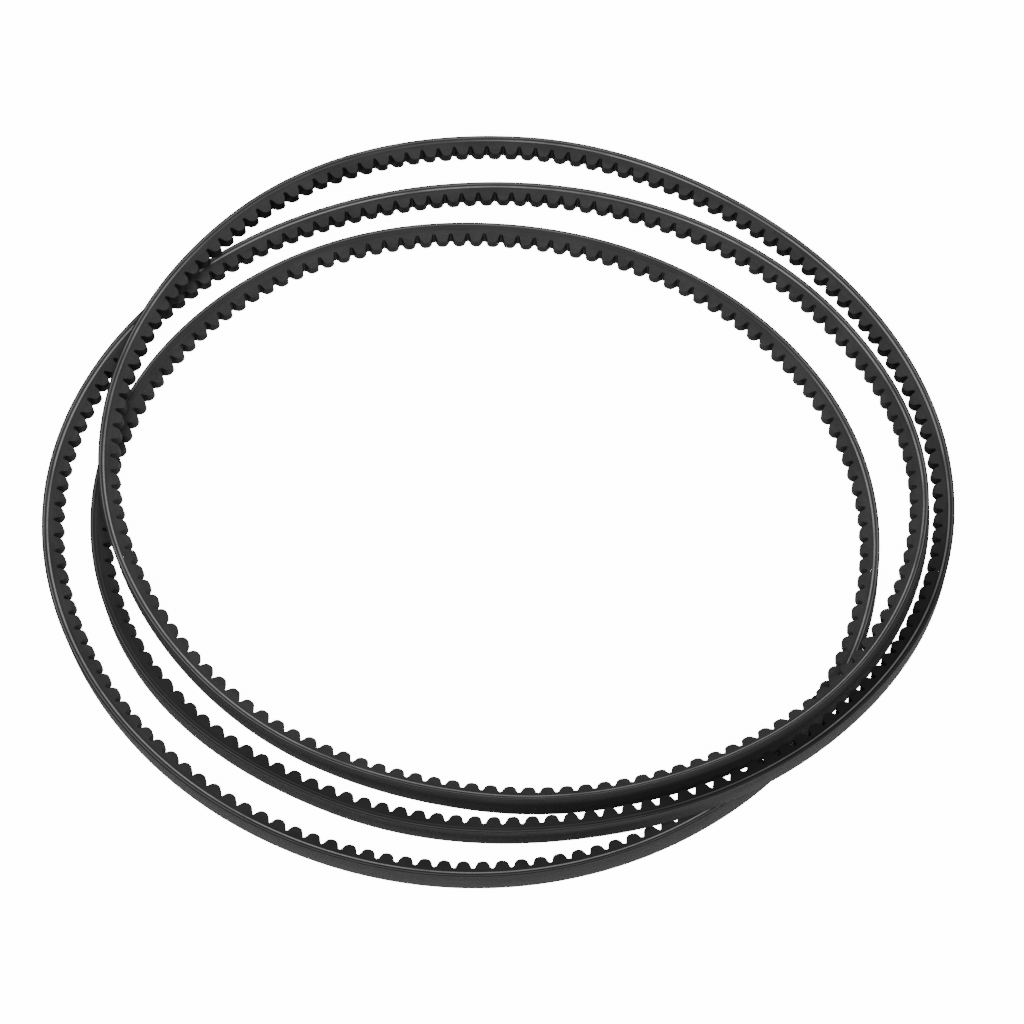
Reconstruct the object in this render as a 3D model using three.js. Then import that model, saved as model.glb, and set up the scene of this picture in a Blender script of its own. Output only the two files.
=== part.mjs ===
// A narrow cogged V-belt with raw edges: one endless belt, coiled in three turns and lying on its
// side, with its back outward and its cogs inward.
//
// Units are millimetres, +Z is up. The origin is the middle of the coil's box, on the surface that
// the belt lies on. The belt is built as it is in the mould, as layers bonded to one another:
// back cloth, overcord rubber, cushion rubber, tensile cords, cushion rubber, cogged rubber.
// Every layer follows the same belt line, which is the line through the middle of the cords.

import * as THREE from 'three';

// ---------------------------------------------------------------- Driving dimensions

const BELT_LENGTH = 3000;
const COG_COUNT = 408;
const COGS_PER_STEP = 4;
const STEP_COUNT = COG_COUNT / COGS_PER_STEP;

const TOP_WIDTH = 9.7;
const BELT_HEIGHT = 8;
const FLANK_SLOPE = Math.tan(THREE.MathUtils.degToRad(20));

// Depths are measured from the back of the belt towards the cog tips.
const BOND_GAP = 0.1;
const CORD_DEPTH = 2;
const CORD_SIZE = 1;
const CORD_PITCH = 1.25;
const CORD_COUNT = 7;
const CLOTH_DEPTHS = [0, 0.6];
const OVERCORD_DEPTHS = [0.6, 1.1];
const UPPER_CUSHION_DEPTHS = [1.1, 1.5];
const LOWER_CUSHION_DEPTHS = [2.5, 3];
const COG_ROOT_DEPTH = 4.4;

// A cog as fractions of the cog pitch: half the notch floor, one sloping side, half the tip.
const HALF_NOTCH_FLOOR = 0.08;
const HALF_TIP = 0.26;

// ---------------------------------------------------------------- How the belt is coiled

const TURN_COUNT = 3;
const LENGTH_SAMPLES = 6000;

// Control radii of the belt line, every 30 degrees around each turn, before it is brought to length.
const TURN_RADII = [
  [186, 180, 175, 181, 174, 168, 158, 143, 130, 128, 143, 163],
  [175, 168, 157, 152, 158, 173, 184, 176, 166, 161, 158, 157],
  [152, 140, 131, 130, 141, 154, 164, 159, 144, 145, 154, 172],
];

// How far the belt leans, in degrees, every 45 degrees around each turn. Plus turns its back up.
const TURN_LEANS = [
  [1, -1, -3, -3, -3, 1, 14, 22],
  [8, 0, -3, -5, -4, 1, 7, 9],
  [4, 2, 1, 0, -1, 1, 4, 6],
];

// Where the belt climbs over its own lower turns. Places are in turns from the start.
const CLIMB_HEIGHT = 9.95;
const CLIMB_RAMP = 0.12;
const CLIMBS = [
  { middle: 0.448, halfLength: 0.088 },
  { middle: 0.912, halfLength: 0.048 },
  { middle: 2.845, halfLength: 0.045 },
];

// ---------------------------------------------------------------- Materials

function rubber(color, roughness) {
  return new THREE.MeshStandardMaterial({ color, roughness, metalness: 0 });
}

const CLOTH_FINISH = { color: 0x343536, roughness: 0.85 };
const OVERCORD_FINISH = { color: 0x262728, roughness: 0.7 };
const CUSHION_FINISH = { color: 0x2e2f30, roughness: 0.75 };
const CORD_FINISH = { color: 0x8a8a86, roughness: 0.8 };
const COG_FINISH = { color: 0x3a3b3c, roughness: 0.8 };

// ---------------------------------------------------------------- The belt line

// A closed uniform cubic B-spline through the control values, at the fraction t of the whole coil.
function closedSpline(values, t) {
  const count = values.length;
  const place = THREE.MathUtils.euclideanModulo(t, 1) * count;
  const index = Math.floor(place);
  const f = place - index;
  const value = (offset) => values[(index + offset + count) % count];
  const before = (1 - f) ** 3;
  const here = 3 * f ** 3 - 6 * f ** 2 + 4;
  const next = -3 * f ** 3 + 3 * f ** 2 + 3 * f + 1;
  const after = f ** 3;
  return (value(-1) * before + value(0) * here + value(1) * next + value(2) * after) / 6;
}

// How high the climbs lift the belt at the fraction t of the whole coil.
function climbAt(t) {
  const turn = THREE.MathUtils.euclideanModulo(t, 1) * TURN_COUNT;
  const lifts = CLIMBS.map(({ middle, halfLength }) => {
    const straight = Math.abs(turn - middle);
    const distance = Math.min(straight, TURN_COUNT - straight);
    return CLIMB_HEIGHT * (1 - THREE.MathUtils.smoothstep(distance, halfLength, halfLength + CLIMB_RAMP));
  });
  return Math.max(...lifts);
}

function halfWidthAt(depth) {
  return TOP_WIDTH / 2 - depth * FLANK_SLOPE;
}

function leanAt(t) {
  return THREE.MathUtils.degToRad(closedSpline(TURN_LEANS.flat(), t));
}

// The belt line's height, with the lowest corner of the leaning section on the surface below it.
function heightAt(t) {
  const lean = leanAt(t);
  const corners = [0, BELT_HEIGHT].flatMap((depth) => [
    [CORD_DEPTH - depth, halfWidthAt(depth)],
    [CORD_DEPTH - depth, -halfWidthAt(depth)],
  ]);
  const lowest = Math.min(...corners.map(([out, across]) => out * Math.sin(lean) + across * Math.cos(lean)));
  return climbAt(t) - lowest;
}

class BeltLine extends THREE.Curve {
  constructor(scale) {
    super();
    this.scale = scale;
    this.arcLengthDivisions = LENGTH_SAMPLES;
  }

  getPoint(t, target = new THREE.Vector3()) {
    const radius = this.scale * closedSpline(TURN_RADII.flat(), t);
    const angle = 2 * Math.PI * TURN_COUNT * t;
    return target.set(radius * Math.cos(angle), radius * Math.sin(angle), heightAt(t));
  }
}

const beltLine = new BeltLine(BELT_LENGTH / new BeltLine(1).getLength());

// The section of the belt at each step: a point on the belt line, the way out and the way across.
function makeSections() {
  const sections = [];
  for (let step = 0; step < STEP_COUNT; step += 1) {
    const t = beltLine.getUtoTmapping(step / STEP_COUNT);
    const along = beltLine.getTangent(t).setZ(0).normalize();
    const level = new THREE.Vector3(along.y, -along.x, 0);
    const out = level.clone().applyAxisAngle(along, -leanAt(t));
    const across = new THREE.Vector3(0, 0, 1).applyAxisAngle(along, -leanAt(t));
    sections.push({ point: beltLine.getPoint(t), out, across });
  }
  return sections;
}

const sections = makeSections();

// A point on the belt: the step, the fraction of it, the depth from the back and the place across.
function beltPoint(step, fraction, depth, across) {
  const ends = [step, step + 1].map((index) => {
    const section = sections[index % STEP_COUNT];
    const point = section.point.clone();
    point.addScaledVector(section.out, CORD_DEPTH - depth);
    return point.addScaledVector(section.across, across);
  });
  return ends[0].lerp(ends[1], fraction);
}

// ---------------------------------------------------------------- Solids along the belt

function solid(name, finish, positions) {
  const geometry = new THREE.BufferGeometry();
  const flat = positions.flatMap((point) => point.toArray());
  geometry.setAttribute('position', new THREE.Float32BufferAttribute(flat, 3));
  geometry.computeVertexNormals();
  const mesh = new THREE.Mesh(geometry, rubber(finish.color, finish.roughness));
  mesh.name = name;
  return mesh;
}

// A closed ring, built step by step. The outline is the cog side of one step, seen from the belt's
// side: [fraction, depth] points from the step's start to its end. The back is straight.
function layerRing(name, finish, backDepth, outline) {
  const side = [[0, backDepth], ...outline, [1, backDepth]];
  const contour = side.map(([fraction, depth]) => new THREE.Vector2(fraction, depth));
  const faces = THREE.ShapeUtils.triangulateShape(contour, []);
  const clockwise = THREE.ShapeUtils.isClockWise(contour);
  const positions = [];
  for (let step = 0; step < STEP_COUNT; step += 1) {
    const flank = (direction) => side.map(([fraction, depth]) =>
      beltPoint(step, fraction, depth, direction * halfWidthAt(depth)));
    const upper = flank(1);
    const lower = flank(-1);
    for (const [a, b, c] of faces) {
      const turned = clockwise ? [a, b, c] : [a, c, b];
      positions.push(...turned.map((index) => upper[index]));
      positions.push(...turned.reverse().map((index) => lower[index]));
    }
    // Strips across the belt: every stretch of the cog side, and the back. The step's ends stay open.
    for (let index = 1; index < side.length - 2; index += 1) {
      positions.push(upper[index], upper[index + 1], lower[index + 1]);
      positions.push(upper[index], lower[index + 1], lower[index]);
    }
    const last = side.length - 1;
    positions.push(upper[last], upper[0], lower[last]);
    positions.push(upper[0], lower[0], lower[last]);
  }
  return solid(name, finish, positions);
}

// A flat layer of the belt between two depths, as wide as the belt is there.
function flatLayer(name, finish, [backDepth, innerDepth]) {
  const inner = innerDepth - BOND_GAP;
  return layerRing(name, finish, backDepth, [[0, inner], [1, inner]]);
}

// One pass of the tensile cord. The outermost passes are cut off where the flanks are ground.
function cordPass(name, middle) {
  const half = CORD_SIZE / 2;
  const depths = [CORD_DEPTH - half, CORD_DEPTH + half - BOND_GAP];
  const edge = (depth, direction) => {
    const limit = halfWidthAt(depth);
    return THREE.MathUtils.clamp(middle + direction * half, -limit, limit);
  };
  const corners = [
    [depths[0], edge(depths[0], -1)],
    [depths[0], edge(depths[0], 1)],
    [depths[1], edge(depths[1], 1)],
    [depths[1], edge(depths[1], -1)],
  ];
  const positions = [];
  for (let step = 0; step < STEP_COUNT; step += 1) {
    corners.forEach(([depth, across], index) => {
      const [nextDepth, nextAcross] = corners[(index + 1) % corners.length];
      const a = beltPoint(step, 0, depth, across);
      const b = beltPoint(step, 1, depth, across);
      const c = beltPoint(step, 1, nextDepth, nextAcross);
      const d = beltPoint(step, 0, nextDepth, nextAcross);
      positions.push(a, b, c, a, c, d);
    });
  }
  return solid(name, CORD_FINISH, positions);
}

// ---------------------------------------------------------------- Sub-parts

function backCloth() {
  return flatLayer('back_cloth', CLOTH_FINISH, CLOTH_DEPTHS);
}

function overcordRubber() {
  return flatLayer('overcord_rubber', OVERCORD_FINISH, OVERCORD_DEPTHS);
}

function upperCushion() {
  return flatLayer('upper_cushion_rubber', CUSHION_FINISH, UPPER_CUSHION_DEPTHS);
}

function tensileCords() {
  return Array.from({ length: CORD_COUNT }, (_, index) => {
    const middle = (index - (CORD_COUNT - 1) / 2) * CORD_PITCH;
    return cordPass(`tensile_cord_${index + 1}`, middle);
  });
}

function lowerCushion() {
  return flatLayer('lower_cushion_rubber', CUSHION_FINISH, LOWER_CUSHION_DEPTHS);
}

// The thick inner rubber. Its cogs are moulded in one piece with it, and let it bend freely.
function coggedRubber() {
  const cog = [
    [HALF_NOTCH_FLOOR, COG_ROOT_DEPTH],
    [0.5 - HALF_TIP, BELT_HEIGHT],
    [0.5 + HALF_TIP, BELT_HEIGHT],
    [1 - HALF_NOTCH_FLOOR, COG_ROOT_DEPTH],
  ];
  const outline = [[0, COG_ROOT_DEPTH]];
  for (let index = 0; index < COGS_PER_STEP; index += 1) {
    outline.push(...cog.map(([fraction, depth]) => [(index + fraction) / COGS_PER_STEP, depth]));
  }
  outline.push([1, COG_ROOT_DEPTH]);
  return layerRing('cogged_compression_rubber', COG_FINISH, LOWER_CUSHION_DEPTHS[1], outline);
}

// ---------------------------------------------------------------- The belt

// Moves the coil so that the middle of its box is over the origin.
function centre(belt) {
  const box = new THREE.Box3().setFromObject(belt);
  const middle = box.getCenter(new THREE.Vector3());
  belt.position.set(-middle.x, -middle.y, -box.min.z);
}

const belt = new THREE.Group();
belt.add(backCloth());
belt.add(overcordRubber());
belt.add(upperCushion());
belt.add(...tensileCords());
belt.add(lowerCushion());
belt.add(coggedRubber());
centre(belt);

export default belt;
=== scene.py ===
# %% [markdown]
# # A cogged V-belt, coiled in three turns
#
# A V-belt carries power between grooved pulleys. This one is a narrow belt with raw edges: its sides are cut and
# ground, so the layers that it is built from show along them, and its inner side has cogs that let it bend.
# It is one endless loop of three metres, coiled in three turns and lying on its side.
#
# The lesson builds the belt as it is built in the factory, flat and straight. One cog's length of each layer is
# modelled by hand, repeated along a straight line and then bent along the line of the coil.

# %% Load the frame
import math

import bmesh
import bpy
import numpy as np
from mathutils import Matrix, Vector


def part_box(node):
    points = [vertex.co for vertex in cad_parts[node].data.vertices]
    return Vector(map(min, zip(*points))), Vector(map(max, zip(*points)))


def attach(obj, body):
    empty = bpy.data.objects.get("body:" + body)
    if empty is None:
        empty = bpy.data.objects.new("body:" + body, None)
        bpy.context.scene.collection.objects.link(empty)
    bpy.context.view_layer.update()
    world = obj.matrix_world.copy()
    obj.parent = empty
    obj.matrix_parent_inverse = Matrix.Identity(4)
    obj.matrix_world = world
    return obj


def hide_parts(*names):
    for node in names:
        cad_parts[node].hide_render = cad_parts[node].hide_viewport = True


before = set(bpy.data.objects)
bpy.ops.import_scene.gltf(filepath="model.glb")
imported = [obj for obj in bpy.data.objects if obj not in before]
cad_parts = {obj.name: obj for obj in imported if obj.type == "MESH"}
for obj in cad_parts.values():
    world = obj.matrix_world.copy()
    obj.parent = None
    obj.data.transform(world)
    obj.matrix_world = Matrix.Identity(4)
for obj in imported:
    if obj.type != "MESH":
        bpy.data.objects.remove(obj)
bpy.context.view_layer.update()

print("CAD nodes:", sorted(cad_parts))

# %% [markdown]
# ## The belt's own dimensions
#
# Everything is in metres. Depth is measured from the back of the belt towards the tips of the cogs, and the two
# flanks slope in at 20 degrees each, which gives the 40 degree wedge that grips a pulley groove. These few numbers
# drive every piece, so a change of section changes all the layers together.

# %% Driving dimensions
MM = 0.001
BELT_LENGTH = 3000 * MM
COG_COUNT = 408
COG_PITCH = BELT_LENGTH / COG_COUNT
TOP_WIDTH = 9.7 * MM
BELT_HEIGHT = 8 * MM
FLANK_ANGLE = math.radians(20)

CORD_DEPTH = 2 * MM
CORD_RADIUS = 0.5 * MM
CORD_PITCH = 1.25 * MM
CORD_COUNT = 7
BOND_GAP = 0.03 * MM

CLOTH_DEPTHS = (0, 0.6 * MM - BOND_GAP)
OVERCORD_DEPTHS = (0.6 * MM, 1.1 * MM - BOND_GAP)
UPPER_CUSHION_DEPTHS = (1.1 * MM, CORD_DEPTH - BOND_GAP / 2)
LOWER_CUSHION_DEPTHS = (CORD_DEPTH + BOND_GAP / 2, 3 * MM - BOND_GAP)
COG_LAYER_DEPTHS = (3 * MM, BELT_HEIGHT)
COG_ROOT_DEPTH = 4.4 * MM


def half_width(depth):
    """Half the belt's width at a depth from its back."""
    return TOP_WIDTH / 2 - depth * math.tan(FLANK_ANGLE)


print(f"one cog every {COG_PITCH / MM:.3f} mm, {2 * half_width(BELT_HEIGHT) / MM:.2f} mm wide at its tip")

# %% [markdown]
# ## The line of the coil
#
# The belt line runs through the middle of the tensile cords, which is the one line that keeps its length when a belt
# bends. It could be drawn as a Bezier circle and pulled about by hand, but it has to agree with the CAD model to a
# fraction of a millimetre, so the CAD model's 36 control radii and its spline are repeated here. The radii are a
# least-squares fit, rounded to whole millimetres, with four of them changed. The belt leans a little to one
# side or the other as it goes round, and it climbs over itself where the turns cross.

# %% Control values of the coil
TURN_COUNT = 3
TURN_RADII = [
    [186, 180, 175, 181, 174, 168, 158, 143, 130, 128, 143, 163],
    [175, 168, 157, 152, 158, 173, 184, 176, 166, 161, 158, 157],
    [152, 140, 131, 130, 141, 154, 164, 159, 144, 145, 154, 172],
]
TURN_LEANS = [
    [1, -1, -3, -3, -3, 1, 14, 22],
    [8, 0, -3, -5, -4, 1, 7, 9],
    [4, 2, 1, 0, -1, 1, 4, 6],
]
CLIMB_HEIGHT = 9.95 * MM
CLIMB_RAMP = 0.12
CLIMBS = [(0.448, 0.088), (0.912, 0.048), (2.845, 0.045)]


def closed_spline(values, t):
    """A closed uniform cubic B-spline through control values, at the fractions t of the whole coil."""
    values = np.ravel(values)
    place = (t % 1) * len(values)
    index = np.floor(place).astype(int)
    f = place - index
    weights = ((1 - f) ** 3, 3 * f**3 - 6 * f**2 + 4, -3 * f**3 + 3 * f**2 + 3 * f + 1, f**3)
    points = [values[(index + offset) % len(values)] for offset in (-1, 0, 1, 2)]
    return sum(w * p for w, p in zip(weights, points)) / 6


def climb(t):
    """How high the crossings lift the belt at the fractions t."""
    turn = (t % 1) * TURN_COUNT
    lifts = []
    for middle, half_length in CLIMBS:
        distance = np.abs(turn - middle)
        distance = np.minimum(distance, TURN_COUNT - distance)
        ramp = np.clip((distance - half_length) / CLIMB_RAMP, 0, 1)
        lifts.append(CLIMB_HEIGHT * (1 - ramp * ramp * (3 - 2 * ramp)))
    return np.max(lifts, axis=0)


def lean(t):
    """How far the belt leans, in radians. Plus turns its back up."""
    return np.radians(closed_spline(TURN_LEANS, t))


def height(t):
    """The belt line's height, with the lowest corner of the leaning section on what is below it."""
    corners = [
        (CORD_DEPTH - depth) * np.sin(lean(t)) + side * half_width(depth) * np.cos(lean(t))
        for depth in (0, BELT_HEIGHT)
        for side in (-1, 1)
    ]
    return climb(t) - np.min(corners, axis=0)


def coil_points(t, scale):
    """Points of the belt line about the middle of its turns."""
    radius = scale * MM * closed_spline(TURN_RADII, t)
    angle = 2 * math.pi * TURN_COUNT * t
    return np.stack([radius * np.cos(angle), radius * np.sin(angle), height(t)], axis=1)


LINE_SAMPLES = 6000


def running_length(points):
    """The distance along a line of points, from its start to each of them."""
    steps = np.linalg.norm(np.diff(points, axis=0), axis=1)
    return np.concatenate([[0], np.cumsum(steps)])


def even_fractions(count, scale):
    """Fractions t that divide the closed belt line into equal lengths."""
    t = np.linspace(0, 1, LINE_SAMPLES + 1)
    length = running_length(coil_points(t, scale))
    return np.interp(np.arange(count) / count * length[-1], length, t)


fine = np.linspace(0, 1, LINE_SAMPLES + 1)
COIL_SCALE = BELT_LENGTH / running_length(coil_points(fine, 1))[-1]
print(f"control radii are scaled by {COIL_SCALE:.4f} to bring the belt line to {BELT_LENGTH} m")

# %% [markdown]
# The CAD model is centred on its own box. Its outermost corners are those of the back cloth at the ends of its
# straight steps, so the same corners are worked out here and the coil is moved by the same amount. The measured box
# of the CAD node tells whether the two lines agree.

# %% Centre the coil as the CAD model is centred
COGS_PER_CAD_STEP = 4
CAD_STEPS = COG_COUNT // COGS_PER_CAD_STEP


def outward(t):
    """The level direction out of the coil at the fractions t."""
    step = 1e-5
    along = coil_points(t + step, COIL_SCALE) - coil_points(t - step, COIL_SCALE)
    level = np.stack([along[:, 1], -along[:, 0], 0 * t], axis=1)
    return level / np.linalg.norm(level, axis=1, keepdims=True)


def back_corners(t):
    """The two corners of the belt's back at the fractions t."""
    up = np.array([0, 0, 1])
    c, s = np.cos(lean(t))[:, None], np.sin(lean(t))[:, None]
    out = outward(t) * c + up * s
    across = up * c - outward(t) * s
    middle = coil_points(t, COIL_SCALE) + out * CORD_DEPTH
    return np.concatenate([middle + across * TOP_WIDTH / 2, middle - across * TOP_WIDTH / 2])


corners = back_corners(even_fractions(CAD_STEPS, COIL_SCALE))
COIL_MIDDLE = (corners.min(axis=0) + corners.max(axis=0)) / 2 * np.array([1, 1, 0])
low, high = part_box("back_cloth")
low_error = corners.min(axis=0) - COIL_MIDDLE - low
high_error = corners.max(axis=0) - COIL_MIDDLE - high
error = np.abs(np.concatenate([low_error, high_error]))
print(f"largest difference between this coil and the CAD box: {error.max() / MM:.4f} mm")

# %% [markdown]
# ## The bending curve
#
# The line becomes a closed curve object with a point every half cog. Each point's tilt carries the lean. A Curve
# modifier will bend the straight layers along it. "Z up" keeps the belt's width upright, and stretching the piece to
# the whole curve makes its two ends meet.

# %% Make the curve that bends every layer
HALF_STEPS = 2 * COG_COUNT


def make_belt_line():
    """The closed curve that the straight layers are bent along."""
    t = even_fractions(HALF_STEPS, COIL_SCALE)
    points = coil_points(t, COIL_SCALE) - COIL_MIDDLE
    curve = bpy.data.curves.new("belt_line", "CURVE")
    curve.dimensions = "3D"
    curve.twist_mode = "Z_UP"
    curve.use_stretch = True
    curve.use_deform_bounds = True
    spline = curve.splines.new("POLY")
    spline.points.add(HALF_STEPS - 1)
    spline.use_cyclic_u = True
    for point, place, angle in zip(spline.points, points, lean(t)):
        point.co = (*place, 1)
        point.tilt = -angle
    line = bpy.data.objects.new("belt_line", curve)
    bpy.context.scene.collection.objects.link(line)
    return line


belt_line = make_belt_line()
print(f"belt line of {HALF_STEPS} points, {belt_line.data.splines[0].calc_length():.5f} m long")

# %% [markdown]
# ## Working on one cog's length
#
# Each layer starts as a block one cog long, laid along X with the belt line on the X axis. +Y is towards the cog
# tips and +Z is across the belt. The belt's sleeve is cured with straight sides and then cut into belts by sloping
# knives, and the pieces are made in the same way: a bisect at each flank cuts the slope.

# %% Helpers for edit mode
def deselect_all():
    """Nothing is selected, in object mode."""
    if bpy.context.mode != "OBJECT":
        bpy.ops.object.mode_set(mode="OBJECT")
    bpy.ops.object.select_all(action="DESELECT")


def make_active(piece):
    """Only this piece is selected, and it is the active one."""
    deselect_all()
    piece.select_set(True)
    bpy.context.view_layer.objects.active = piece


def pick(piece, kind, test):
    """In edit mode, selects the vertices, edges or faces whose middle passes the test."""
    mesh = bmesh.from_edit_mesh(piece.data)
    bpy.ops.mesh.select_mode(type=kind)
    bpy.ops.mesh.select_all(action="DESELECT")
    parts = {"VERT": mesh.verts, "EDGE": mesh.edges, "FACE": mesh.faces}[kind]
    count = 0
    for part in parts:
        if kind == "VERT":
            chosen = test(part.co)
        elif kind == "EDGE":
            chosen = test(*(v.co for v in part.verts))
        else:
            chosen = test(part.calc_center_median())
        if chosen:
            part.select = True
            count += 1
    mesh.select_flush_mode()
    bmesh.update_edit_mesh(piece.data)
    return count


def near(a, b, tolerance=1e-6):
    """Whether two lengths are the same place."""
    return abs(a - b) < tolerance


def start_block(name, back, inner, length=COG_PITCH):
    """A block of the belt between two depths, wider than the belt, left in edit mode."""
    deselect_all()
    size = (length, inner - back, TOP_WIDTH * 1.1)
    middle = (length / 2, (back + inner) / 2 - CORD_DEPTH, 0)
    bpy.ops.mesh.primitive_cube_add(size=1, location=middle, scale=size)
    piece = bpy.context.object
    piece.name = name
    bpy.ops.object.transform_apply(location=True, rotation=True, scale=True)
    bpy.ops.object.mode_set(mode="EDIT")
    return piece


def split_at(place):
    """Cuts the whole piece at a distance along the belt and keeps both sides."""
    bpy.ops.mesh.select_all(action="SELECT")
    bpy.ops.mesh.bisect(plane_co=(place, 0, 0), plane_no=(1, 0, 0))


def cut_flanks():
    """Cuts both sloping flanks and closes the cuts."""
    reach = half_width(CORD_DEPTH)
    for side in (-1, 1):
        normal = (0, math.sin(FLANK_ANGLE), side * math.cos(FLANK_ANGLE))
        bpy.ops.mesh.select_all(action="SELECT")
        bpy.ops.mesh.bisect(plane_co=(0, 0, side * reach), plane_no=normal, use_fill=True, clear_outer=True)


def open_ends(piece, length=COG_PITCH):
    """Deletes the end faces, where the next copy joins on, and leaves edit mode."""
    pick(piece, "FACE", lambda middle: near(middle.x, 0) or near(middle.x, length))
    bpy.ops.mesh.delete(type="FACE")
    bpy.ops.object.mode_set(mode="OBJECT")


print("flank cut", math.degrees(FLANK_ANGLE), "degrees at each side")

# %% [markdown]
# ## From one cog's length to the whole belt
#
# An Array modifier repeats the length and merges the joints, and a Curve modifier bends the straight belt round the
# coil. Both are applied. Between the two, the straight belt's own coordinates are stored on the faces' corners:
# distance along the belt, depth and place across. The materials read them, so that weave, fibres and grinding
# marks follow the belt round the coil and don't stretch at the joint where the loop closes.

# %% Helpers that repeat and bend
def apply_modifier(piece, kind, **settings):
    """Adds a modifier with these settings and applies it."""
    make_active(piece)
    modifier = piece.modifiers.new(kind.title(), kind)
    for key, value in settings.items():
        setattr(modifier, key, value)
    bpy.ops.object.modifier_apply(modifier=modifier.name)


def store_straight_place(piece):
    """Stores where each face corner lies on the straight belt: along, depth and across, in metres."""
    mesh = piece.data
    places = np.zeros(len(mesh.vertices) * 3, np.float32)
    mesh.vertices.foreach_get("co", places)
    corner_vertices = np.zeros(len(mesh.loops), np.int32)
    mesh.loops.foreach_get("vertex_index", corner_vertices)
    corner_places = places.reshape(-1, 3)[corner_vertices]
    corner_places[:, 1] += CORD_DEPTH
    layer = mesh.attributes.new("straight_place", "FLOAT_VECTOR", "CORNER")
    layer.data.foreach_set("vector", corner_places.ravel())


MERGE_DISTANCE = 0.002 * MM


def close_loop(piece):
    """Joins the two ends of the bent belt."""
    make_active(piece)
    bpy.ops.object.mode_set(mode="EDIT")
    bpy.ops.mesh.select_all(action="SELECT")
    bpy.ops.mesh.remove_doubles(threshold=MERGE_DISTANCE)
    bpy.ops.object.mode_set(mode="OBJECT")


def open_edges(piece):
    """How many edges of a mesh don't have two faces. A closed piece has none."""
    mesh = bmesh.new()
    mesh.from_mesh(piece.data)
    count = sum(1 for edge in mesh.edges if len(edge.link_faces) != 2)
    mesh.free()
    return count


def bend_round_coil(piece, copies=COG_COUNT, length=COG_PITCH, smooth_angle=35):
    """Repeats a straight length, bends it round the coil and closes it."""
    apply_modifier(
        piece,
        "ARRAY",
        count=copies,
        use_relative_offset=False,
        use_constant_offset=True,
        constant_offset_displace=(length, 0, 0),
        use_merge_vertices=True,
        merge_threshold=MERGE_DISTANCE,
    )
    store_straight_place(piece)
    apply_modifier(piece, "CURVE", object=belt_line, deform_axis="POS_X")
    close_loop(piece)
    bpy.ops.object.shade_smooth_by_angle(angle=math.radians(smooth_angle))
    piece.data.materials.clear()
    print(f"{piece.name}: {len(piece.data.polygons)} faces, {open_edges(piece)} open edges")
    return piece


# %% [markdown]
# ## The cogs
#
# The compression rubber is moulded on a ribbed drum, so the cogs have sloping sides, round shoulders and a round
# root where the rubber bends most and a sharp corner would crack. A cog could be made from a drawn outline, but
# starting from a block keeps every face a neat quad: the block is cut at the two roots, the face between them is
# pulled out to the tip and narrowed, and the four edges are then bevelled round. One length runs from the middle
# of one notch to the middle of the next.

# %% Model one cog
ROOT_SHARE = 0.16
TIP_SHARE = 0.52
SHOULDER_RADIUS = 1.6 * MM
ROOT_RADIUS = 0.5 * MM
END_MARGIN = 0.01 * COG_PITCH


def bevel_cross_edges(piece, depth, radius, segments):
    """Rounds the edges that run across the belt at a depth, apart from those at the ends of the length."""
    def crosses(a, b):
        inside = near(a.x, b.x) and END_MARGIN < a.x < COG_PITCH - END_MARGIN
        return inside and near(a.y, b.y) and near(a.y, depth - CORD_DEPTH)

    pick(piece, "EDGE", crosses)
    bpy.ops.mesh.bevel(offset=radius, segments=segments, affect="EDGES")


def make_cog():
    """One cog's length of the compression rubber."""
    piece = start_block("cogs", COG_LAYER_DEPTHS[0], COG_ROOT_DEPTH)
    root_half = ROOT_SHARE / 2 * COG_PITCH
    split_at(root_half)
    split_at(COG_PITCH - root_half)
    root_place = COG_ROOT_DEPTH - CORD_DEPTH
    inner = COG_LAYER_DEPTHS[1] - COG_ROOT_DEPTH
    pick(piece, "FACE", lambda m: near(m.x, COG_PITCH / 2) and near(m.y, root_place))
    bpy.ops.mesh.extrude_region_move(TRANSFORM_OT_translate={"value": (0, inner, 0)})
    tip = (COG_PITCH / 2, COG_LAYER_DEPTHS[1] - CORD_DEPTH, 0)
    bpy.ops.transform.resize(value=(TIP_SHARE / (1 - ROOT_SHARE), 1, 1), center_override=tip)
    bevel_cross_edges(piece, COG_LAYER_DEPTHS[1], SHOULDER_RADIUS, 4)
    bevel_cross_edges(piece, COG_ROOT_DEPTH, ROOT_RADIUS, 3)
    split_at(COG_PITCH / 2)
    cut_flanks()
    open_ends(piece)
    return piece


cogs = make_cog()
print("one cog has", len(cogs.data.polygons), "faces")

# %% Repeat the cog and bend the row
bend_round_coil(cogs)

# %% [markdown]
# ## The fabric back
#
# One ply of rubbered fabric covers the back. It is a plain strip, and its two outer edges, which rub on whatever the
# belt touches, are worn round. Half a cog's length is enough for one copy: the coil bends gently, and there is
# nothing else on the strip that repeats.

# %% Model the fabric back
HALF_PITCH = COG_PITCH / 2
EDGE_WEAR = 0.14 * MM


def make_back_cloth():
    """Half a cog's length of the fabric back, with worn edges."""
    piece = start_block("fabric_back", *CLOTH_DEPTHS, HALF_PITCH)
    cut_flanks()
    pick(piece, "EDGE", lambda a, b: near(a.y, -CORD_DEPTH) and near(b.y, -CORD_DEPTH) and near(a.z, b.z))
    bpy.ops.mesh.bevel(offset=EDGE_WEAR, segments=2, affect="EDGES")
    open_ends(piece, HALF_PITCH)
    return piece


fabric_back = bend_round_coil(make_back_cloth(), HALF_STEPS, HALF_PITCH)

# %% [markdown]
# ## The overcord rubber
#
# A thin sheet of rubber ties the fabric to the cushion. It is softer than its neighbours, so grinding leaves it a
# little hollow along the flanks. The block is cut once along its length, half way down the sheet, and the two new
# edges on the flanks are moved in.

# %% Model the overcord rubber
HOLLOW = 0.07 * MM


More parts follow.
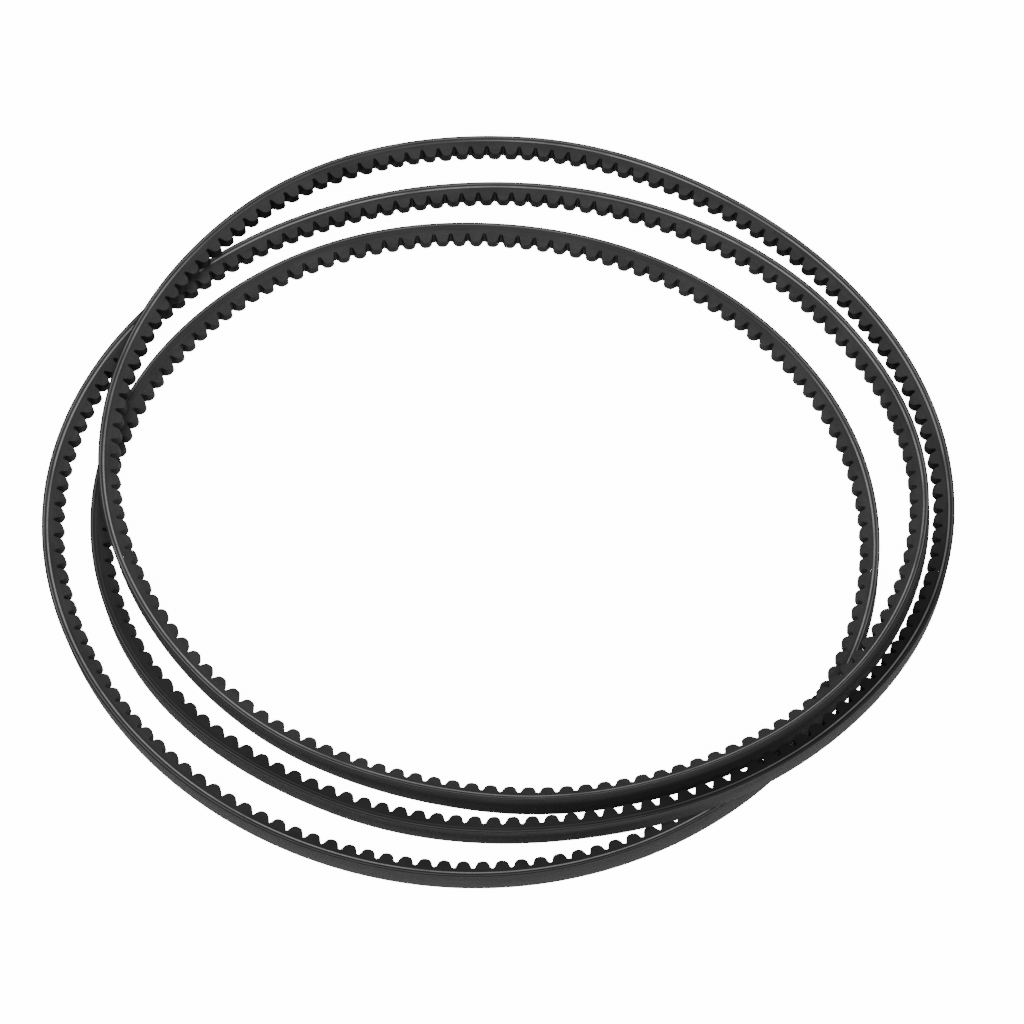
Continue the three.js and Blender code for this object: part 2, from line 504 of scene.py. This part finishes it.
def make_overcord():
    """Half a cog's length of the overcord rubber, with hollow flanks."""
    piece = start_block("overcord", *OVERCORD_DEPTHS, HALF_PITCH)
    middle = sum(OVERCORD_DEPTHS) / 2
    bpy.ops.mesh.select_all(action="SELECT")
    bpy.ops.mesh.bisect(plane_co=(0, middle - CORD_DEPTH, 0), plane_no=(0, 1, 0))
    cut_flanks()
    pick(piece, "VERT", lambda place: near(place.y, middle - CORD_DEPTH))
    bpy.ops.transform.resize(value=(1, 1, 1 - HOLLOW / half_width(middle)), center_override=(0, 0, 0))
    open_ends(piece, HALF_PITCH)
    return piece


overcord = bend_round_coil(make_overcord(), HALF_STEPS, HALF_PITCH)

# %% [markdown]
# ## The cords
#
# One polyester cord is wound round the sleeve many times, side by side, and carries all the pull. Seven turns of it
# lie in the width of this belt. When the belts are cut apart, the knife goes through the outer cords, and the cut
# threads show as a thin pale line along each flank. Each cord is a cylinder laid along X, and the flank cuts make
# the pale faces.

# %% Model the cords
CORD_SIDES = 12
cord_places = [(number - (CORD_COUNT - 1) / 2) * CORD_PITCH for number in range(CORD_COUNT)]


def start_rod(name, radius, place, length, sides=CORD_SIDES):
    """A rod along the belt at a place across it, left in edit mode."""
    deselect_all()
    bpy.ops.mesh.primitive_cylinder_add(
        vertices=sides,
        radius=radius,
        depth=length,
        location=(length / 2, 0, place),
        rotation=(0, math.radians(90), 0),
    )
    piece = bpy.context.object
    piece.name = name
    bpy.ops.object.transform_apply(location=True, rotation=True, scale=True)
    bpy.ops.object.mode_set(mode="EDIT")
    return piece


def make_cord(number, place):
    """Half a cog's length of one pass of the cord."""
    piece = start_rod(f"cord_pass_{number}", CORD_RADIUS, place, HALF_PITCH)
    cut_flanks()
    open_ends(piece, HALF_PITCH)
    return piece


cord_passes = [
    bend_round_coil(make_cord(number, place), HALF_STEPS, HALF_PITCH, smooth_angle=50)
    for number, place in enumerate(cord_places, start=1)
]

# %% [markdown]
# ## The two cushions
#
# The cords are pressed between two sheets of soft rubber, which flow together round them. Each sheet is a block
# with grooves for the cords. A Boolean modifier takes the grooves out of one short length, where it is quick and
# safe, and the length is then cut at the flanks and repeated like the others.

# %% Model the cushions
GROOVE_SIDES = 8


def make_groove_cutters():
    """Rods a little larger than the cords, longer than one length, joined as one object."""
    rods = []
    for place in cord_places:
        rod = start_rod("groove", CORD_RADIUS + BOND_GAP, place, 3 * HALF_PITCH, GROOVE_SIDES)
        bpy.ops.mesh.select_all(action="SELECT")
        bpy.ops.transform.translate(value=(-HALF_PITCH, 0, 0))
        bpy.ops.object.mode_set(mode="OBJECT")
        rods.append(rod)
    deselect_all()
    for rod in rods:
        rod.select_set(True)
    bpy.context.view_layer.objects.active = rods[0]
    bpy.ops.object.join()
    return bpy.context.object


def make_cushion(name, depths, cutters):
    """Half a cog's length of a cushion, with grooves for the cords."""
    piece = start_block(name, *depths, HALF_PITCH)
    bpy.ops.object.mode_set(mode="OBJECT")
    apply_modifier(piece, "BOOLEAN", object=cutters, operation="DIFFERENCE", solver="EXACT")
    bpy.ops.object.mode_set(mode="EDIT")
    cut_flanks()
    open_ends(piece, HALF_PITCH)
    return piece


groove_cutters = make_groove_cutters()
cushions = [
    bend_round_coil(make_cushion(name, depths, groove_cutters), HALF_STEPS, HALF_PITCH)
    for name, depths in (("upper_cushion", UPPER_CUSHION_DEPTHS), ("lower_cushion", LOWER_CUSHION_DEPTHS))
]
for helper in (groove_cutters, belt_line):
    bpy.data.objects.remove(helper)

# %% [markdown]
# ## Helpers for materials
#
# Every finish is a small network of nodes on one Principled shader. The straight place that was stored on the pieces
# gives each network three lengths to work with: distance along the belt, depth from the back, and place across.
# Comparing them with the section's own slope tells which surfaces were ground by the flank wheel and which still
# have the skin of the mould, so one material can finish a whole layer.

# %% Node helpers
def start_material(name):
    """A material with one Principled shader, as (material, node tree, shader)."""
    material = bpy.data.materials.new(name)
    material.use_nodes = True
    tree = material.node_tree
    return material, tree, tree.nodes["Principled BSDF"]


def put(tree, socket, value):
    """Links a socket to another node's output, or sets its value."""
    if isinstance(value, bpy.types.NodeSocket):
        tree.links.new(value, socket)
    else:
        socket.default_value = value


def add_node(tree, kind, inputs, **settings):
    """A new node with these settings and inputs. Inputs are values or other nodes' outputs."""
    node = tree.nodes.new(kind)
    for key, value in settings.items():
        setattr(node, key, value)
    for key, value in inputs.items():
        put(tree, node.inputs[key], value)
    return node


def calculate(tree, operation, *values):
    """The result of a math node."""
    return add_node(tree, "ShaderNodeMath", dict(enumerate(values)), operation=operation).outputs[0]


def remap(tree, value, low, high, new_low=0.0, new_high=1.0):
    """A value between two limits, smoothly remapped to two others."""
    inputs = {"Value": value, "From Min": low, "From Max": high, "To Min": new_low, "To Max": new_high}
    return add_node(tree, "ShaderNodeMapRange", inputs, interpolation_type="SMOOTHSTEP").outputs["Result"]


def blend(tree, share, first, second):
    """A mix of two colours, each a grey level, a colour or another node's output."""
    node = add_node(tree, "ShaderNodeMix", {0: share}, data_type="RGBA")
    for index, colour in ((6, first), (7, second)):
        put(tree, node.inputs[index], (colour, colour, colour, 1) if isinstance(colour, float) else colour)
    return node.outputs[2]


def place_on_belt(tree):
    """The straight belt's coordinates as (vector, along, depth, across)."""
    vector = add_node(tree, "ShaderNodeAttribute", {}, attribute_name="straight_place").outputs["Vector"]
    return vector, *add_node(tree, "ShaderNodeSeparateXYZ", {"Vector": vector}).outputs


def grain(tree, vector, size, detail=3.0, stretch=(1, 1, 1)):
    """Noise with grains of a size in metres, stretched along the belt, in depth and across."""
    scaled = add_node(tree, "ShaderNodeMapping", {"Vector": vector, "Scale": [1 / (size * s) for s in stretch]})
    noise = {"Vector": scaled.outputs[0], "Scale": 1.0, "Detail": detail, "Roughness": 0.6}
    return add_node(tree, "ShaderNodeTexNoise", noise).outputs["Fac"]


def bump(tree, height, distance):
    """A bumped normal from a height between 0 and 1 and its depth in metres."""
    inputs = {"Height": height, "Distance": distance, "Strength": 1.0}
    return add_node(tree, "ShaderNodeBump", inputs).outputs["Normal"]


def tone_along(tree, along, stops):
    """A grey tone that changes slowly along the belt, from stops of (metres, tone)."""
    share = calculate(tree, "DIVIDE", along, BELT_LENGTH)
    node = add_node(tree, "ShaderNodeValToRGB", {"Fac": share})
    elements = node.color_ramp.elements
    for index, (metres, tone) in enumerate(stops):
        element = elements[index] if index < 2 else elements.new(metres / BELT_LENGTH)
        element.position = metres / BELT_LENGTH
        element.color = (tone, tone, tone, 1)
    return node.outputs["Color"]


def ground_share(tree, depth, across, ragged):
    """1 on the ground flanks and 0 on moulded surfaces, with a ragged edge."""
    slope = calculate(tree, "MULTIPLY", depth, math.tan(FLANK_ANGLE))
    edge = calculate(tree, "SUBTRACT", TOP_WIDTH / 2, slope)
    inside = calculate(tree, "SUBTRACT", edge, calculate(tree, "ABSOLUTE", across))
    moved = calculate(tree, "ADD", inside, remap(tree, ragged, 0.3, 0.7, -0.12 * MM, 0.12 * MM))
    return remap(tree, moved, 0.1 * MM, 0.3 * MM, 1.0, 0.0)


print("node helpers are ready")

# %% [markdown]
# ## The rubber
#
# All the rubber is black, but it doesn't look black everywhere. The mould leaves a dark, slightly shiny skin in the
# notches. Grinding removes the skin from the flanks and opens the rubber's grain, so they turn a soft dark grey with
# fine lengthwise marks. The compression rubber also holds short fibres that lie across the belt, and their cut
# ends show on the flanks as pale specks. Shade is painted on the flanks: over some of the belt's length they are
# painted a tone darker where they lie in shade, and nearly black where the crossing strand above shades the outer
# turn. The three rubber layers differ only in how grey they grind and how many fibres they hold, so one function
# makes all three.

# %% Rubber materials
# Painted shade along the belt, as (metres, tone): the ground flanks are darker over the lengths that lie in shade,
# and nearly black from 2.82 to 2.94 m, where the crossing strand above shades the outer turn.
FLANK_PAINTED_SHADE = [
    (0, 0.8), (0.06, 1), (1.62, 1), (1.72, 0.65), (1.86, 0.65), (1.95, 1), (2.4, 1), (2.52, 0.6),
    (2.76, 0.6), (2.82, 0.2), (2.94, 0.2), (3, 0.8),
]


def make_rubber(name, ground, skin, fibres):
    """Black rubber: grey levels of its ground flanks and moulded skin, and how much its cut fibres show."""
    material, tree, shader = start_material(name)
    vector, along, depth, across = place_on_belt(tree)
    fine = grain(tree, vector, 0.25 * MM)
    cloudy = grain(tree, vector, 6 * MM, stretch=(3, 1, 1))
    marks = grain(tree, vector, 0.16 * MM, stretch=(60, 1, 1))
    is_ground = ground_share(tree, depth, across, fine)

    flank = blend(tree, remap(tree, cloudy, 0.3, 0.7), ground * 0.8, ground * 1.2)
    flank = blend(tree, remap(tree, marks, 0.35, 0.7, 0.0, 0.5), flank, ground * 0.6)
    specks = remap(tree, grain(tree, vector, 0.3 * MM, 1.0), 0.62, 0.72, 0.0, fibres)
    flank = blend(tree, specks, flank, ground * 3.0)
    # Painted shade: the ground flanks are multiplied by the painted shade stops along the belt.
    flank = blend(tree, tone_along(tree, along, FLANK_PAINTED_SHADE), 0.0, flank)
    moulded = blend(tree, remap(tree, cloudy, 0.35, 0.65), skin * 0.7, skin * 1.3)
    put(tree, shader.inputs["Base Color"], blend(tree, is_ground, moulded, flank))

    put(tree, shader.inputs["Roughness"], remap(tree, is_ground, 0.0, 1.0, 0.55, 0.88))
    height = calculate(tree, "ADD", fine, calculate(tree, "MULTIPLY", marks, is_ground))
    put(tree, shader.inputs["Normal"], bump(tree, height, 0.05 * MM))
    shader.inputs["Specular IOR Level"].default_value = 0.2
    print("rubber", name, "grinds to a grey level of", ground)
    return material


cog_rubber = make_rubber("cogged_rubber", 0.038, 0.006, 0.5)
cushion_rubber = make_rubber("cushion_rubber", 0.036, 0.006, 0.2)
overcord_rubber = make_rubber("overcord_rubber", 0.13, 0.008, 0.2)

# %% [markdown]
# ## The fabric
#
# The back is a square weave of cotton and polyester, cut on the bias so that it stretches when the belt bends, and
# rubbed full of rubber. The threads run at 45 degrees to the belt and show only as a soft relief. Two crossed wave
# textures could draw them, and multiplying two sine waves gives the same over-and-under in fewer nodes. Handling
# has rubbed the tops of the threads and the edges of the strip to a lighter grey, in streaks along the belt. Light
# and shade are painted on the back: a band along its upper edge keeps its grey all the way round, as the light from
# above still reaches it, and below that band the back is painted nearly black over the lengths that the outer turns
# shade, and stays grey elsewhere.

# %% Fabric material
THREAD_PITCH = 0.55 * MM
# Painted shade along the belt, as (metres, tone), for the back below the band along its upper edge, which is left as
# lit: nearly black over the lengths that the outer turns shade.
BACK_PAINTED_SHADE = [
    (0, 1), (0.5, 0.9), (0.6, 0.1), (0.97, 0.1), (1.04, 0.9), (2.45, 1), (2.54, 0.3), (2.66, 0.1), (2.79, 0.1),
    (2.85, 1), (3, 1),
]
LIT_EDGE_WIDTH = 1.0 * MM
SHADE_FADE = 3.2 * MM


def make_fabric(name):
    """Rubbered bias weave, rubbed lighter in streaks and along its edges, with painted shade below its upper edge.
    """
    material, tree, shader = start_material(name)
    vector, along, depth, across = place_on_belt(tree)
    fine = grain(tree, vector, 0.2 * MM)
    streaks = grain(tree, vector, 0.5 * MM, stretch=(50, 1, 1))
    is_flank = remap(tree, depth, 0.02 * MM, 0.16 * MM)

    turn = 2 * math.pi / THREAD_PITCH
    diagonal = calculate(tree, "MULTIPLY", calculate(tree, "ADD", along, across), turn)
    other = calculate(tree, "MULTIPLY", calculate(tree, "SUBTRACT", along, across), turn)
    crossing = calculate(tree, "MULTIPLY", calculate(tree, "SINE", diagonal), calculate(tree, "SINE", other))
    weave = calculate(tree, "MULTIPLY_ADD", crossing, 0.5, 0.5)

    back = blend(tree, remap(tree, weave, 0.2, 0.9), 0.014, 0.024)
    back = blend(tree, remap(tree, streaks, 0.4, 0.7, 0.0, 0.8), back, 0.04)
    edge = remap(tree, calculate(tree, "ABSOLUTE", across), TOP_WIDTH / 2 - 0.5 * MM, TOP_WIDTH / 2 - 0.1 * MM)
    worn = calculate(tree, "MULTIPLY", edge, remap(tree, fine, 0.35, 0.65, 0.3, 0.9))
    back = blend(tree, worn, back, 0.06)
    # Painted light and shade: below the lit band along the upper edge, the back is multiplied by the painted shade
    # along the belt.
    lit_edge_start = TOP_WIDTH / 2 - LIT_EDGE_WIDTH
    shaded_share = remap(tree, across, lit_edge_start - SHADE_FADE, lit_edge_start, 1.0, 0.0)
    tone = blend(tree, shaded_share, 1.0, tone_along(tree, along, BACK_PAINTED_SHADE))
    back = blend(tree, tone, 0.0, back)
    cut = blend(tree, remap(tree, fine, 0.4, 0.6), 0.008, 0.02)
    put(tree, shader.inputs["Base Color"], blend(tree, is_flank, back, cut))

    put(tree, shader.inputs["Roughness"], remap(tree, fine, 0.3, 0.7, 0.75, 0.9))
    height = calculate(tree, "MULTIPLY_ADD", fine, 0.6, weave)
    put(tree, shader.inputs["Normal"], bump(tree, height, 0.06 * MM))
    shader.inputs["Specular IOR Level"].default_value = 0.2
    shader.inputs["Sheen Weight"].default_value = 0.05
    shader.inputs["Sheen Roughness"].default_value = 0.5
    print("fabric threads every", THREAD_PITCH / MM, "mm")
    return material


back_fabric = make_fabric("back_fabric")

# %% [markdown]
# ## The cut cords
#
# The cord is pale polyester, dipped in a dark adhesive. Where the knife opened it, the cut threads show nearly
# white against the rubber. The pale cut shows over part of the belt's length only, and elsewhere it is darkened to
# the rubber's grey. Stops along the belt say how much of it shows.

# %% Cord material
CORD_SHOWN = [
    (0, 0.6), (0.05, 1), (0.26, 1), (0.3, 0.2), (0.42, 0.2), (0.47, 1), (2.06, 1), (2.16, 0), (2.8, 0),
    (2.86, 0.5), (2.96, 0.5), (3, 0.6),
]


def make_cut_cord(name):
    """Dipped cord, pale where the flank cut opened it, and darkened over part of the belt."""
    material, tree, shader = start_material(name)
    vector, along, depth, across = place_on_belt(tree)
    threads = grain(tree, vector, 0.12 * MM, stretch=(6, 1, 1))
    patches = grain(tree, vector, 12 * MM, stretch=(2, 1, 1))
    is_cut = ground_share(tree, depth, across, threads)
    uneven = remap(tree, patches, 0.3, 0.55, 0.45, 1.0)
    showing = calculate(tree, "MULTIPLY", tone_along(tree, along, CORD_SHOWN), uneven)
    shown = calculate(tree, "MULTIPLY", is_cut, showing)

    pale = blend(tree, remap(tree, threads, 0.3, 0.7), 0.14, 0.28)
    put(tree, shader.inputs["Base Color"], blend(tree, shown, 0.03, pale))
    put(tree, shader.inputs["Roughness"], remap(tree, threads, 0.3, 0.7, 0.7, 0.9))
    put(tree, shader.inputs["Normal"], bump(tree, threads, 0.05 * MM))
    shader.inputs["Specular IOR Level"].default_value = 0.3
    print("the cord's cut shows by", len(CORD_SHOWN), "stops along the belt")
    return material


cut_cord = make_cut_cord("tensile_cord")

# %% [markdown]
# ## Hand the layers to the frame
#
# Every layer rides on the one rigid body of the coil and stands for its CAD node.

# %% Finish every piece
LAYERS = [
    (fabric_back, back_fabric, "back_cloth", "back_cloth"),
    (overcord, overcord_rubber, "overcord_rubber", "overcord_rubber"),
    (cushions[0], cushion_rubber, "upper_cushion_rubber", "cushion_rubber"),
    (cushions[1], cushion_rubber, "lower_cushion_rubber", "cushion_rubber"),
    (cogs, cog_rubber, "cogged_compression_rubber", "cogged_rubber"),
]
LAYERS += [
    (cord, cut_cord, f"tensile_cord_{number}", "tensile_cord")
    for number, cord in enumerate(cord_passes, start=1)
]
for piece, material, node_name, slot_name in LAYERS:
    piece.data.materials.append(material)
    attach(piece, "root")
    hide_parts(node_name)
    print(piece.name, "stands for", node_name)

# %% [markdown]
# ## The floor and the light
#
# Black rubber on a white sweep is a hard contrast: light that is strong enough to whiten the floor turns the rubber
# grey. So the belt is lit softly, by one broad lamp above and in front, and the floor glows by itself like a light
# table. Light linking keeps the glow off the belt: the floor's light is linked to a collection that holds only the
# floor, so what reaches the belt from below is only the lamp's light that the floor throws back.

# %% Floor, world and lamps
FLOOR_SIZE = 14
FLOOR_GLOW = 14.0


def make_floor():
    """A pale floor that glows a little."""
    deselect_all()
    bpy.ops.mesh.primitive_plane_add(size=FLOOR_SIZE)
    sweep = bpy.context.object
    sweep.name = "floor"
    material, _, shader = start_material("pale_floor")
    shader.inputs["Base Color"].default_value = (0.9, 0.9, 0.9, 1)
    shader.inputs["Roughness"].default_value = 0.9
    shader.inputs["Specular IOR Level"].default_value = 0.1
    shader.inputs["Emission Color"].default_value = (1, 1, 1, 1)
    shader.inputs["Emission Strength"].default_value = FLOOR_GLOW
    sweep.data.materials.append(material)
    lit_by_the_glow = bpy.data.collections.new("lit_by_the_glow")
    lit_by_the_glow.objects.link(sweep)
    sweep.light_linking.receiver_collection = lit_by_the_glow
    return sweep


def add_soft_lamp(name, place, size, power):
    """A square area lamp that faces the middle of the coil."""
    lamp = bpy.data.lights.new(name, "AREA")
    lamp.size = size
    lamp.energy = power
    holder = bpy.data.objects.new(name, lamp)
    holder.location = place
    holder.rotation_euler = (-Vector(place)).to_track_quat("-Z", "Y").to_euler()
    bpy.context.scene.collection.objects.link(holder)


floor = make_floor()
add_soft_lamp("key_lamp", (0, -1.0, 1.7), 1.4, 52)
world = bpy.data.worlds.new("studio")
world.use_nodes = True
world.node_tree.nodes["Background"].inputs["Color"].default_value = (1, 1, 1, 1)
world.node_tree.nodes["Background"].inputs["Strength"].default_value = 0.2
bpy.context.scene.world = world
print("floor glow", FLOOR_GLOW)

# %% [markdown]
# ## The camera
#
# The camera looks down on the coil at 61 degrees with a long lens, so the near turns are only a little larger than
# the far ones.

# %% Camera
CAMERA_ELEVATION = math.radians(61)
CAMERA_DISTANCE = 0.964
CAMERA_TARGET = Vector((0.0051, -0.0112, 0))
LENS = 83.5

camera_data = bpy.data.cameras.new("camera")
camera_data.lens = LENS
camera_data.sensor_width = 36
camera = bpy.data.objects.new("camera", camera_data)
away = Vector((0, -math.cos(CAMERA_ELEVATION), math.sin(CAMERA_ELEVATION)))
camera.location = CAMERA_TARGET + CAMERA_DISTANCE * away
camera.rotation_euler = away.to_track_quat("Z", "Y").to_euler()
bpy.context.scene.collection.objects.link(camera)
bpy.context.scene.camera = camera
print("camera at", [round(value, 3) for value in camera.location])
